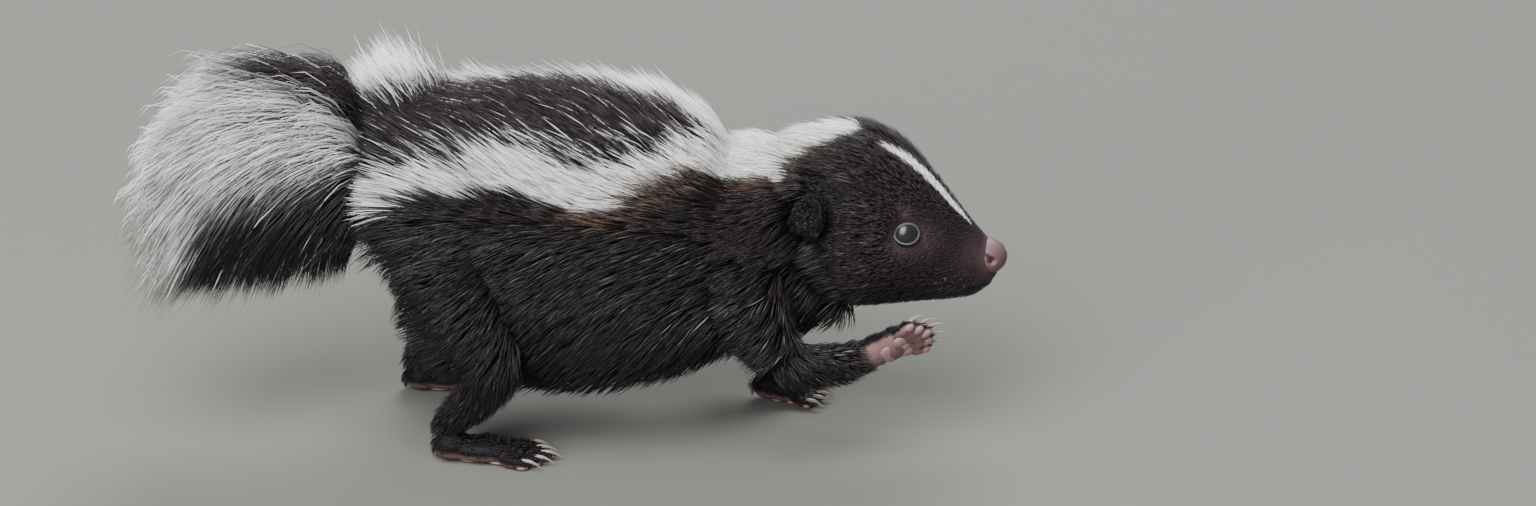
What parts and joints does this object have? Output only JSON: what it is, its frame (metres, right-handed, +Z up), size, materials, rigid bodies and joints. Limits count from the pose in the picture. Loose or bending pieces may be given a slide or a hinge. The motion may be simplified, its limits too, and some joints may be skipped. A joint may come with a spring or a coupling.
{
  "type": "striped skunk",
  "caption": "Young striped skunk at life size, in mid stride with one forepaw lifted, long back coat and bushy drooping tail.",
  "frame": {"origin": "on the floor below the middle of the whole animal", "axes": "+X the way the animal walks, +Y its left side, +Z up"},
  "size_m": [0.2882, 0.0896, 0.1301],
  "materials": {
    "black": "long glossy black-brown fur",
    "white": "long white fur",
    "nose": "moist bare skin",
    "eye": "wet, very glossy",
    "paw": "thinly furred skin with bare pads and horn claws"
  },
  "bodies": {
    "root": {"leg_hind_right_upper": "black", "leg_hind_right_lower": "black", "paw_hind_right": "paw", "leg_hind_left_upper": "black", "leg_hind_left_lower": "black", "paw_hind_left": "paw", "leg_fore_right_upper": "black", "leg_fore_right_lower": "black", "paw_fore_right": "paw", "leg_fore_left_upper": "black", "leg_fore_left_lower": "black", "paw_fore_left": "paw", "ear_right": "black", "eye_right": "eye", "ear_left": "black", "eye_left": "eye", "nose": "nose", "head": "black", "neck": "white", "torso": "black", "tail_base": "black", "tail_middle": "white", "tail_tip": "white"}
  },
  "joints": []
}
